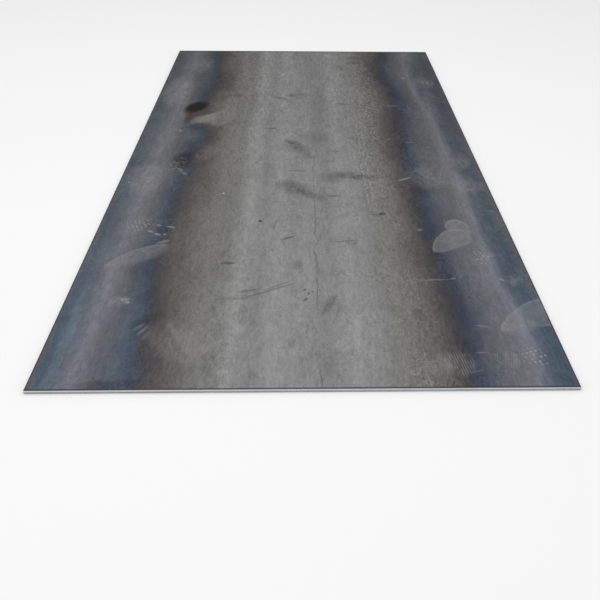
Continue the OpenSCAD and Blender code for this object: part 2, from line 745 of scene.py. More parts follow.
class GroupDraft(NodeSketch):
    """A new node group with named inputs and outputs."""

    KINDS = {"vector": "NodeSocketVector", "value": "NodeSocketFloat", "colour": "NodeSocketColor"}

    def __init__(self, name: str, inputs: dict[str, str], outputs: dict[str, str]) -> None:
        """Makes the group and its sockets.

        Args:
            name: The group's name.
            inputs: Each input's name and kind.
            outputs: Each output's name and kind.
        """
        super().__init__(bpy.data.node_groups.new(name, "ShaderNodeTree"))
        for way, sockets in (("INPUT", inputs), ("OUTPUT", outputs)):
            for socket, kind in sockets.items():
                self.tree.interface.new_socket(name=socket, in_out=way, socket_type=self.KINDS[kind])
        self.given = self.node("NodeGroupInput").outputs
        self.result = self.node("NodeGroupOutput").inputs

    def close(self, **values: Any) -> bpy.types.NodeTree:
        """Feeds the outputs and hands over the finished group.

        Args:
            **values: What each output puts out.

        Returns:
            The group's tree.
        """
        for name, value in values.items():
            self.feed(self.result[name.replace("_", " ")], value)
        return self.tree


class Effects:
    """The node groups that the plate's finishes share, each built once."""

    MARK_INPUTS = ("X", "Y", "Middle X", "Middle Y", "Turn", "Half Length", "Half Width", "Edge", "Strength")
    FILM_CRISP = Slope(-0.3, 0.4)
    FILM_RIM = 0.30
    BAR_PROFILE = Slope(-0.2, 0.8, 0.25, 1.0)
    STUD_PROFILE = Slope(0.16, 0.42, 1.0, 0.0)
    STUD_STRENGTH = Slope(0.0, 0.8, 0.15, 1.0)
    STUD_SCATTER = 0.2
    CURL_WIDTH = Slope(0.0, 0.07, 1.0, 0.0)
    STREAKS = {
        "Broad": Lumps(30.0, 3.0, 0.6, 0.4, (1.0, 0.12, 1.0)),
        "Fine": Lumps(140.0, 3.0, 0.6, 0.5, (1.0, 0.14, 1.0)),
    }
    GRAIN = {
        "Cloud": Lumps(8.5, 4.0, 0.6, 0.6, (1.0, 0.55, 1.0)),
        "Mottle": Lumps(50.0, 4.0, 0.65, 1.3, (1.0, 0.50, 1.0)),
        "Fleck": Lumps(110.0, 3.0, 0.65, 1.6, (1.0, 0.38, 1.0)),
        "Tooth": Lumps(280.0, 3.0, 0.65, 1.6, (1.0, 0.36, 1.0)),
    }
    # The noises that bend and tear the tint bands, each with its reach
    BAND_MOVES = (
        (Lumps(2.6, 2.0, share=(2.0, 1.0, 1.0)), 0.030),
        (Lumps(34.0, 4.0, 0.65, share=(1.0, 0.20, 1.0)), 0.026),
    )
    BLUE_SIDE = Slope(0.15, 0.22, 1.0, 0.0)
    BLUE_ENDS_AT = 0.3
    BLUE_GAIN = 0.55
    # Painted shade darkens the scale towards the far end, most of all near the sides, and painted light lifts
    # the near end.
    PAINTED_SHADE_SIDES = Slope(0.24, 0.36, 1.0, 0.0)
    NEAR_PAINTED_LIGHT = 1.05
    FAR_PAINTED_SHADE = 0.21
    FAR_SIDE_PAINTED_SHADE = 0.24
    COARSE_RISE = Slope(0.22, 0.30)
    COARSE_FALL = Slope(0.38, 0.52, 1.0, 0.6)

    def __init__(self, form: "PlateForm") -> None:
        """Builds every group.

        Args:
            form: The plate's form, for the places of its sides and ends.
        """
        self.form = form
        self.spot = self._spot()
        self.film = self._film()
        self.bars = self._bars()
        self.studs = self._studs()
        self.wander = self._wander()
        self.streaks = self._texture("Roll Streaks", self.STREAKS)
        self.grain = self._texture("Scale Grain", self.GRAIN)
        self.wisps = self._wisps()
        self.tint = self._tint_and_painted_shade()

    def _mark_draft(self, name: str, outputs: Sequence[str], *extra: str) -> GroupDraft:
        """Starts a group that draws one mark.

        Args:
            name: The group's name.
            outputs: Names of its outputs.
            *extra: Names of inputs beside those that every mark has.

        Returns:
            The draft. All its sockets are plain numbers.
        """
        inputs = (*self.MARK_INPUTS, *extra)
        return GroupDraft(name, dict.fromkeys(inputs, "value"), dict.fromkeys(outputs, "value"))

    @staticmethod
    def _in_mark(draft: GroupDraft) -> tuple[Socket, Socket]:
        """Places along and across a mark, in shares of its half length and half width.

        The offset from the mark's middle is turned back by the mark's turn, and divided by its half sizes.

        Args:
            draft: A draft of a group that draws one mark.

        Returns:
            The two places, from -1 to 1 inside the mark.
        """
        given = draft.given
        away_x = draft.math("SUBTRACT", given["X"], given["Middle X"])
        away_y = draft.math("SUBTRACT", given["Y"], given["Middle Y"])
        cosine = draft.math("COSINE", given["Turn"])
        sine = draft.math("SINE", given["Turn"])
        long, wide = given["Half Length"], given["Half Width"]
        rise = draft.math("MULTIPLY", away_y, draft.math("DIVIDE", sine, long))
        along = draft.math("MULTIPLY_ADD", away_x, draft.math("DIVIDE", cosine, long), rise)
        fall = draft.math("MULTIPLY", away_x, draft.math("DIVIDE", sine, wide))
        climb = draft.math("MULTIPLY", away_y, draft.math("DIVIDE", cosine, wide))
        return along, draft.math("SUBTRACT", climb, fall)

    @staticmethod
    def _squared_reach(draft: GroupDraft, along: Socket, across: Socket) -> Socket:
        """The squared distance from a mark's middle, which is 1 on its outline."""
        return draft.math("MULTIPLY_ADD", along, along, draft.math("MULTIPLY", across, across))

    @staticmethod
    def _oval(draft: GroupDraft, squared: Socket) -> Socket:
        """A mask that is the mark's strength inside an oval and eases to 0 over its edge."""
        inner = draft.math("POWER", draft.math("SUBTRACT", 1.0, draft.given["Edge"]), 2.0)
        return draft.ease(squared, inner, 1.0, draft.given["Strength"], 0.0)

    def _spot(self) -> bpy.types.NodeTree:
        """A soft oval: its strength in its middle, easing to 0 on its outline.

        Returns:
            The group's tree.
        """
        draft = self._mark_draft("Soft Spot", ["Mask"])
        squared = self._squared_reach(draft, *self._in_mark(draft))
        return draft.close(Mask=self._oval(draft, squared))

    def _film(self) -> bpy.types.NodeTree:
        """A dried film: an egg-shaped oval, crisp and rimmed on one side, that fades on the other.

        Returns:
            The group's tree.
        """
        draft = self._mark_draft("Dry Film", ["Fill", "Rim"], "Fade", "Widen")
        given = draft.given
        along, across = self._in_mark(draft)
        width = draft.math("MULTIPLY_ADD", along, given["Widen"], 1.0)
        squared = self._squared_reach(draft, along, draft.math("DIVIDE", across, width))
        crisp = draft.ease(across, *self.FILM_CRISP)
        sharpened = draft.math("SUBTRACT", given["Edge"], given["Fade"])
        edge = draft.math("MULTIPLY_ADD", crisp, sharpened, given["Fade"])
        inner = draft.math("POWER", draft.math("SUBTRACT", 1.0, edge), 2.0)
        fill = draft.ease(squared, inner, 1.0, given["Strength"], 0.0)
        rise = draft.ease(squared, draft.math("SUBTRACT", inner, self.FILM_RIM), inner)
        return draft.close(Fill=fill, Rim=draft.product(fill, rise, crisp))

    def _bars(self) -> bpy.types.NodeTree:
        """Parallel bar prints inside a soft oval: a sine of the distance along the oval's length.

        Returns:
            The group's tree.
        """
        draft = self._mark_draft("Sole Bars", ["Mask"], "Per Metre")
        along, across = self._in_mark(draft)
        rate = draft.product(draft.given["Per Metre"], 2.0 * math.pi, draft.given["Half Length"])
        bar = draft.ease(draft.math("SINE", draft.product(along, rate)), *self.BAR_PROFILE)
        inside = self._oval(draft, self._squared_reach(draft, along, across))
        return draft.close(Mask=draft.product(inside, bar))

    def _studs(self) -> bpy.types.NodeTree:
        """Rows of round stud prints of uneven strength: the distance to points near a square grid.

        Returns:
            The group's tree.
        """
        draft = GroupDraft("Sole Studs", {"Position": "vector", "Turn": "vector", "Per Metre": "value"},
                           {"Mask": "value"})
        turned = draft.fill(draft.node("ShaderNodeMapping", vector_type="TEXTURE"), {
            "Vector": draft.given["Position"],
            "Rotation": draft.given["Turn"],
        })
        grid = draft.cells(turned.outputs[0], draft.given["Per Metre"], self.STUD_SCATTER)
        stud = draft.ease(grid.outputs["Distance"], *self.STUD_PROFILE)
        luck, _, _ = draft.axes(grid.outputs["Color"])
        return draft.close(Mask=draft.product(stud, draft.ease(luck, *self.STUD_STRENGTH)))

    @staticmethod
    def _wander() -> bpy.types.NodeTree:
        """A position dragged about by noise, so that outlines drawn on it are uneven.

        Returns:
            The group's tree.
        """
        draft = GroupDraft("Wander", {"Position": "vector", "Reach": "value", "Per Metre": "value"},
                           {"Position": "vector"})
        position = draft.given["Position"]
        lumps = draft.noise(position, Lumps(draft.given["Per Metre"], roughness=0.55))
        offset = draft.vector("SUBTRACT", lumps.outputs["Color"], (0.5, 0.5, 0.5))
        scaled = draft.dim(offset, draft.given["Reach"])
        return draft.close(Position=draft.vector("ADD", position, scaled))

    @staticmethod
    def _texture(name: str, kinds: dict[str, Lumps]) -> bpy.types.NodeTree:
        """Several noises over one position, each about a half.

        Args:
            name: The group's name.
            kinds: Each output's name and noise.

        Returns:
            The group's tree.
        """
        draft = GroupDraft(name, {"Position": "vector"}, dict.fromkeys(kinds, "value"))
        position = draft.given["Position"]
        return draft.close(**{kind: draft.lump(position, lumps) for kind, lumps in kinds.items()})

    def _wisps(self) -> bpy.types.NodeTree:
        """Wiped curls: a thin band about one level of a noise that is dragged far about.

        Returns:
            The group's tree.
        """
        draft = GroupDraft("Wiped Curls", {"Position": "vector", "Per Metre": "value"}, {"Mask": "value"})
        curls = Lumps(draft.given["Per Metre"], 3.0, 0.6, 2.2, (1.0, 0.45, 1.0))
        away = draft.math("SUBTRACT", draft.lump(draft.given["Position"], curls), 0.5)
        return draft.close(Mask=draft.ease(draft.math("ABSOLUTE", away), *self.CURL_WIDTH))

    def _tint_and_painted_shade(self) -> bpy.types.NodeTree:
        """Heat tint: the colour at a distance from the nearer side, with wavering bands.

        The blue of the sides is stronger towards the near end. Painted shade darkens the whole towards the
        far end, most of all at the sides, and painted light lifts the near end. Coarse is a share that is
        largest where the brown bands turn grey.

        Returns:
            The group's tree.
        """
        draft = GroupDraft("Heat Tint And Painted Shade", {"Position": "vector", "Shift": "value"},
                           {"Colour": "colour", "Coarse": "value"})
        half_width, half_length = 0.5 * self.form.width, 0.5 * self.form.length
        position = draft.given["Position"]
        across, along, _ = draft.axes(position)
        places = [draft.math("SUBTRACT", half_width, draft.math("ABSOLUTE", across)), draft.given["Shift"]]
        for lumps, reach in self.BAND_MOVES:
            places.append(draft.product(draft.math("SUBTRACT", draft.lump(position, lumps), 0.5), reach))
        moved = draft.total(*places)
        place = draft.math("DIVIDE", moved, half_width)
        left, right = (draft.ramp(place, [(band.distance / half_width, band.colour.value) for band in bands])
                       for bands in (LEFT_BANDS, RIGHT_BANDS))
        near = draft.ease(along, -half_length, self.BLUE_ENDS_AT, 1.0, 0.0)
        blue = draft.product(near, draft.ease(moved, *self.BLUE_SIDE))
        # Painted shade: the value falls towards the far end, most of all near the sides; painted light lifts
        # the near end.
        far = draft.ease(along, -half_length, half_length)
        far_side_shade = draft.product(far, draft.ease(moved, *self.PAINTED_SHADE_SIDES))
        kept = draft.math("MULTIPLY_ADD", far_side_shade, -self.FAR_SIDE_PAINTED_SHADE, 1.0)
        graded = draft.fill(draft.node("ShaderNodeHueSaturation"), {
            "Color": draft.blend(draft.math("GREATER_THAN", across, 0.0), left, right),
            "Saturation": draft.math("MULTIPLY_ADD", blue, self.BLUE_GAIN, 1.0),
            "Value": draft.product(draft.math("MULTIPLY_ADD", far, -self.FAR_PAINTED_SHADE, self.NEAR_PAINTED_LIGHT), kept),
        })
        coarse = draft.product(draft.ease(moved, *self.COARSE_RISE), draft.ease(moved, *self.COARSE_FALL))
        return draft.close(Colour=graded.outputs["Color"], Coarse=coarse)


@dataclass(frozen=True)
class Ripple:
    """Smooth noise from 0 to 1: sine waves of seeded phase, each finer and weaker than the last.

    Attributes:
        longest: Length of the longest wave.
        waves: Number of waves.
        seed: Seed of the phases and directions.
        finer: How many times as fine each wave is as the last.
        weaker: Share of the last wave's height that each wave keeps.
    """

    longest: float
    waves: int
    seed: int
    finer: float = 1.7
    weaker: float = 0.75

    def at(self, places: np.ndarray) -> np.ndarray:
        """Reads the noise.

        Args:
            places: Places along a line, or on a plane as rows of two numbers.

        Returns:
            One number for each place.
        """
        draws = np.random.default_rng(self.seed)
        steps = np.arange(self.waves)
        rates = 2.0 * math.pi / self.longest * self.finer**steps
        phases = draws.uniform(0.0, 2.0 * math.pi, self.waves)
        if places.ndim == 2:
            turns = draws.uniform(0.0, 2.0 * math.pi, self.waves)
            places = places @ np.stack([np.cos(turns), np.sin(turns)])
        else:
            places = places[:, None]
        weights = self.weaker**steps
        total = (np.sin(places * rates + phases) * weights).sum(axis=-1)
        return 0.5 + 0.5 * total / weights.sum()


@dataclass(frozen=True)
class ShearBreak:
    """The uneven parts of one sheared end.

    Attributes:
        border: How the border of the broken zone wanders up and down.
        grain: The broken zone's grain.
        grain_squash: How many times as wide as tall the grain is.
    """

    border: Ripple
    grain: Ripple
    grain_squash: float = 3.0


NEAR_BREAK = ShearBreak(Ripple(0.21, 6, 11), Ripple(0.024, 5, 12))

FAR_BREAK = ShearBreak(Ripple(0.21, 6, 23), Ripple(0.024, 5, 24))

TOP_WAVES = Ripple(0.9, 4, 31)

UNDER_WAVES = Ripple(0.9, 4, 37)


@dataclass(frozen=True)
class PlateForm:
    """The plate's outer form, as it was rolled and cut.

    Attributes:
        width: Width over the bulged sides.
        length: Length over the sheared ends.
        thickness: Thickness.
        side_bulge: How far a side bulges out at mid thickness.
        pull_in: Radius of the corner that the shear blade pulled in.
        cut_band: Height of the smooth band that the blade cut.
        break_angle: Lean of the broken zone beyond the smooth band.
        break_wander: How far the border of the broken zone wanders up and down.
        break_depth: Depth of the broken zone's grain.
        waviness: Depth of the long waves that rolling left in the faces.
        cells_across: Mesh cells across the plate.
        cells_along: Mesh cells along the plate.
        arc_cells: Mesh cells round a pulled-in corner.
        middle_cells: Mesh cells through the thickness between those corners.
    """

    width: float
    length: float
    thickness: float
    side_bulge: float = 1.5 * MILLIMETRE
    pull_in: float = 1.2 * MILLIMETRE
    cut_band: float = 2.8 * MILLIMETRE
    break_angle: float = math.radians(7.0)
    break_wander: float = 0.5 * MILLIMETRE
    break_depth: float = 0.18 * MILLIMETRE
    waviness: float = 0.25 * MILLIMETRE
    cells_across: int = 400
    cells_along: int = 80
    arc_cells: int = 5
    middle_cells: int = 8

    @classmethod
    def of_node(cls, node: str) -> "PlateForm":
        """Takes the three main sizes from a node of the frame.

        Args:
            node: The node's name.

        Returns:
            The form at that size.
        """
        low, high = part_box(node)
        size = high - low
        return cls(width=size.x, length=size.y, thickness=size.z)

    @property
    def break_start(self) -> float:
        """Depth below the pulled-in corner's face at which the broken zone begins."""
        return self.pull_in + self.cut_band

    def levels(self) -> np.ndarray:
        """Heights that the mesh cuts the thickness at.

        The two pulled-in corners are cut at equal angles of their quarter circle, and the stretch between
        them in equal steps.

        Returns:
            Heights above the underside, rising.
        """
        angles = np.linspace(0.0, 0.5 * math.pi, self.arc_cells + 1)
        low = self.pull_in * (1.0 - np.cos(angles))
        middle = np.linspace(self.pull_in, self.thickness - self.pull_in, self.middle_cells + 1)
        return np.concatenate([low[:-1], middle, self.thickness - low[-2::-1]])

    def half_width(self, height: np.ndarray) -> np.ndarray:
        """Half width at a height: a circular arc through the thickness that bulges by side_bulge.

        Args:
            height: Heights above the underside.

        Returns:
            Distances from the plate's middle plane to its side.
        """
        middle = 0.5 * self.thickness
        radius = (middle**2 + self.side_bulge**2) / (2.0 * self.side_bulge)
        return 0.5 * self.width - radius + np.sqrt(radius**2 - (height - middle) ** 2)

    def end_set_back(self, x: np.ndarray, depth: np.ndarray, uneven: ShearBreak) -> np.ndarray:
        """How far a sheared end lies behind its foremost plane.

        From the pulled-in face the surface follows a quarter circle, then the upright smooth band, then
        the broken zone, which leans back and is grainy. The border between the two wanders.

        Args:
            x: Places across the plate.
            depth: Depths below the face with the pulled-in corner.
            uneven: The end's wander and grain.

        Returns:
            Set-backs, at least 0.
        """
        over_arc = np.clip(self.pull_in - depth, 0.0, self.pull_in)
        arc = self.pull_in - np.sqrt(self.pull_in**2 - over_arc**2)
        sway = (uneven.border.at(x) - 0.5) * 2.0 * self.break_wander
        below = np.clip(depth - self.break_start - sway, 0.0, None)
        lean = below * math.tan(self.break_angle)
        grain = uneven.grain.at(np.stack([x, depth * uneven.grain_squash], axis=1))
        rough = np.clip(below / self.cut_band, 0.0, 1.0) * grain * self.break_depth
        return arc + lean + rough

    def surface(self, across: np.ndarray, along: np.ndarray, height: np.ndarray) -> np.ndarray:
        """Places of surface points.

        Across the plate a point keeps its share of the width at its height, and along the plate its share
        of the way between the two ends at its height. The faces are drawn in by long shallow waves.

        Args:
            across: Shares of the width from 0 to 1.
            along: Shares of the length from 0 to 1.
            height: Heights above the underside.

        Returns:
            Points as rows of X, Y and Z.
        """
        x = (2.0 * across - 1.0) * self.half_width(height)
        near = -0.5 * self.length + self.end_set_back(x, self.thickness - height, NEAR_BREAK)
        far = 0.5 * self.length - self.end_set_back(x, height, FAR_BREAK)
        y = near + along * (far - near)
        spots = np.stack([x, y], axis=1)
        share = height / self.thickness
        top_dip = self.waviness * TOP_WAVES.at(spots)
        under_rise = self.waviness * UNDER_WAVES.at(spots)
        z = height - share * top_dip + (1.0 - share) * under_rise
        return np.stack([x, y, z], axis=1)


class SteelPlate:
    """The plate: one closed mesh with a material for each kind of its surface."""

    SHARP_ANGLE = math.radians(32.0)

    def __init__(self, form: PlateForm, materials: dict[Region, bpy.types.Material]) -> None:
        """Keeps what the plate is made from.

        Args:
            form: The plate's form.
            materials: The material of each kind of surface.
        """
        self.form = form
        self.materials = materials

    @staticmethod
    def quads(grid: np.ndarray, flip: bool) -> np.ndarray:
        """Four-cornered faces of a grid of vertex numbers.

        Args:
            grid: Vertex numbers in rows and columns.
            flip: Whether the faces turn the other way.

        Returns:
            One row of four vertex numbers for each face.
        """
        corners = [grid[:-1, :-1], grid[1:, :-1], grid[1:, 1:], grid[:-1, 1:]]
        if flip:
            corners.reverse()
        return np.stack(corners, axis=-1).reshape(-1, 4)

    def faces(self) -> tuple[np.ndarray, np.ndarray, np.ndarray]:
        """Lays the faces of a box of cells over the plate.

        The lattice is numbered across, along and through the plate. Neighbouring sides of the box share
        the numbers on their common edge, so the mesh is closed.

        Returns:
            The faces, the kind of surface of each face, and the lattice numbers that they use.
        """
        form = self.form
        shape = (form.cells_across + 1, form.cells_along + 1, len(form.levels()))
        lattice = np.arange(np.prod(shape)).reshape(shape)
        sides = (
            (lattice[:, :, -1], False, Region.TOP),
            (lattice[:, :, 0], True, Region.UNDERSIDE),
            (lattice[0], True, Region.MILL_EDGE),
            (lattice[-1], False, Region.MILL_EDGE),
            (lattice[:, 0], False, Region.SHEARED_END),
            (lattice[:, -1], True, Region.SHEARED_END),
        )
        rows = [self.quads(grid, flip) for grid, flip, _ in sides]
        kinds = [np.full(len(row), kind.value) for row, (_, _, kind) in zip(rows, sides)]
        used, numbers = np.unique(np.concatenate(rows), return_inverse=True)
        return numbers.reshape(-1, 4), np.concatenate(kinds), used

    def points(self, used: np.ndarray) -> np.ndarray:
        """Places of the lattice's surface points.

        Args:
            used: Lattice numbers.

        Returns:
            Points as rows of X, Y and Z.
        """
        form = self.form
        levels = form.levels()
        shape = (form.cells_across + 1, form.cells_along + 1, len(levels))
        across, along, level = np.unravel_index(used, shape)
        return form.surface(across / form.cells_across, along / form.cells_along, levels[level])

    def build(self) -> bpy.types.Object:
        """Makes the plate's object.

        Returns:
            The object, at the origin.
        """
        faces, kinds, used = self.faces()
        points = self.points(used)
        mesh = bpy.data.meshes.new("rolled_plate")
        mesh.vertices.add(len(points))
        mesh.vertices.foreach_set("co", points.astype(np.float32).ravel())
        mesh.loops.add(faces.size)
        mesh.loops.foreach_set("vertex_index", faces.astype(np.int32).ravel())
        mesh.polygons.add(len(faces))
        mesh.polygons.foreach_set("loop_start", np.arange(0, faces.size, 4, dtype=np.int32))
        mesh.polygons.foreach_set("material_index", kinds.astype(np.int32))
        for region in Region:
            mesh.materials.append(self.materials[region])
        mesh.update(calc_edges=True)
        mesh.validate()
        mesh.shade_smooth()
        mesh.set_sharp_from_angle(angle=self.SHARP_ANGLE)
        piece = bpy.data.objects.new("rolled_plate", mesh)
        bpy.context.scene.collection.objects.link(piece)
        return piece


@dataclass(frozen=True)
class Finish:
    """Values that one finish sets on the shader itself.

    Attributes:
        name: The material's name.
        metallic: Share of bare-metal reflection.
        specular: Strength of the clear reflection.
        relief: Depth that a height of 1 stands for.
    """

    name: str
    metallic: float
    specular: float
    relief: float


@dataclass(frozen=True)
class ScaleFinish(Finish):
    """A finish of mill scale, with the strength of each part of its grain.

    Attributes:
        rough: Roughness between the fine streaks.
        rough_dirt: Roughness that full dirt adds.
        rough_streaks: Roughness that the fine streaks add.
        tooth_height: Height of the fine tooth, in units of the finish's depth.
        mottle_height: Height of the mottle, in the same units.
        broad: Strength of the broad roll streaks.
        fine: Strength of the fine roll streaks.
        cloud: Strength of the clouds.
        mottle: Strength of the mottle.
        fleck: Strength of the flecks where they are strongest.
        tooth: Strength of the fine tooth.
    """

    rough: float
    rough_dirt: float
    rough_streaks: float = 0.20
    tooth_height: float = 0.5
    mottle_height: float = 0.6
    broad: float = 0.26
    fine: float = 0.46
    cloud: float = 0.38
    mottle: float = 0.74
    fleck: float = 0.90
    tooth: float = 0.56


TOP_SCALE = ScaleFinish("top_mill_scale", 0.06, 0.04, 0.15 * MILLIMETRE, rough=0.46, rough_dirt=0.30)

UNDER_SCALE = ScaleFinish("under_mill_scale", 0.06, 0.04, 0.15 * MILLIMETRE, rough=0.42, rough_dirt=0.50)

SHEARED_END = Finish("sheared_end", 0.60, 0.40, 0.25 * MILLIMETRE)

MILL_EDGE = Finish("mill_edge", 0.25, 0.20, 0.20 * MILLIMETRE)


class FinishMaker:
    """Base of the plate's materials: a shader that nodes give colour, roughness and relief."""

    def __init__(self, effects: Effects, finish: Finish) -> None:
        """Starts an empty material.

        Args:
            effects: The shared node groups.
            finish: The finish's plain values.
        """
        self.effects = effects
        self.finish = finish
        self.material = bpy.data.materials.new(finish.name)
        self.material.use_nodes = True
        self.material.node_tree.nodes.clear()
        self.sketch = NodeSketch(self.material.node_tree)
        self.position = self.sketch.node("ShaderNodeTexCoord").outputs["Object"]
        self.grain = self.sketch.use(effects.grain, Position=self.position).outputs

    def close(self, colour: Socket, roughness: Socket, height: Socket) -> bpy.types.Material:
        """Joins the pattern to the shader.

        Args:
            colour: The base colour.
            roughness: The roughness.
            height: The relief, in units of the finish's depth.

        Returns:
            The finished material.
        """
        sketch, look = self.sketch, self.finish
        bump = sketch.fill(sketch.node("ShaderNodeBump"), {"Distance": look.relief, "Height": height})
        shader = sketch.fill(sketch.node("ShaderNodeBsdfPrincipled"), {
            "Base Color": colour,
            "Metallic": look.metallic,
            "Roughness": roughness,
            "Specular IOR Level": look.specular,
            "Normal": bump.outputs[0],
        })
        sketch.fill(sketch.node("ShaderNodeOutputMaterial"), {"Surface": shader.outputs[0]})
        return self.material

    def vary(self, colour: Any, *changes: tuple[Socket, float]) -> Socket:
        """Lightens and darkens a colour by noises about a half.

        Args:
            colour: The colour.
            *changes: Each noise with its strength.

        Returns:
            The colour times 1 plus each noise's departure from a half times its strength.
        """
        sketch = self.sketch
        gain = sketch.total(*(sketch.math("MULTIPLY_ADD", noise, strength, -0.5 * strength)
                              for noise, strength in changes))
        return sketch.dim(colour, sketch.math("ADD", gain, 1.0))


class ScaleMaker(FinishMaker):
    """Base of the two faces' materials: tinted mill scale with roll streaks."""

    FAR_GRAIN = Slope(-0.5, 0.9, 1.0, 2.0)

    finish: ScaleFinish

    def __init__(self, effects: Effects, finish: ScaleFinish) -> None:
        """Starts the material with its streaks.

        Args:
            effects: The shared node groups.
            finish: The finish's plain values.
        """
        super().__init__(effects, finish)
        self.streaks = self.sketch.use(effects.streaks, Position=self.position).outputs

    def scale(self, shift: Number = 0.0, glint: Number = 0.0) -> Socket:
        """The scale's colour.

        Args:
            shift: How far the tint bands are moved towards the side.
            glint: Share of pale blue that shows in the tint.

        Returns:
            The tint with its painted shade towards the far end, and its streaks, clouds, mottle and tooth.
        """
        sketch, look = self.sketch, self.finish
        tint = sketch.use(self.effects.tint, Position=self.position, Shift=shift).outputs
        _, along, _ = sketch.axes(self.position)
        far = sketch.ease(along, *self.FAR_GRAIN)
        fine = self.scaled(self.streaks["Fine"], far)
        fleck = self.scaled(self.grain["Fleck"], sketch.product(tint["Coarse"], far))
        colour = sketch.blend(glint, tint["Colour"], ScaleColour.SKY.value)
        return self.vary(colour, (self.streaks["Broad"], look.broad), (fine, look.fine),
                         (self.grain["Cloud"], look.cloud), (self.grain["Mottle"], look.mottle),
                         (fleck, look.fleck), (self.grain["Tooth"], look.tooth))

    def scaled(self, noise: Socket, gain: Socket) -> Socket:
        """A noise about a half with its departure from a half multiplied by a gain."""
        away = self.sketch.math("SUBTRACT", noise, 0.5)
        return self.sketch.math("MULTIPLY_ADD", away, gain, 0.5)

    def roughness(self, dirt: Socket) -> Socket:
        """Roughness that varies with the fine streaks and rises under dirt.

        Args:
            dirt: The share of the surface that dirt covers.

        Returns:
            The roughness.
        """
        sketch, look = self.sketch, self.finish
        streaked = sketch.math("MULTIPLY_ADD", self.streaks["Fine"], look.rough_streaks, look.rough)
        return sketch.math("MULTIPLY_ADD", dirt, look.rough_dirt, streaked)

    def relief(self, *further: tuple[Socket, float]) -> Socket:
        """Adds up the relief of tooth and mottle and of further masks.

        Args:
            *further: Each mask with its height.

        Returns:
            The height, in units of the finish's depth.
        """
        look = self.finish
        parts = (
            (self.grain["Tooth"], look.tooth_height),
            (self.grain["Mottle"], look.mottle_height),
            *further,
        )
        return self.sketch.total(*(self.sketch.product(mask, height) for mask, height in parts))


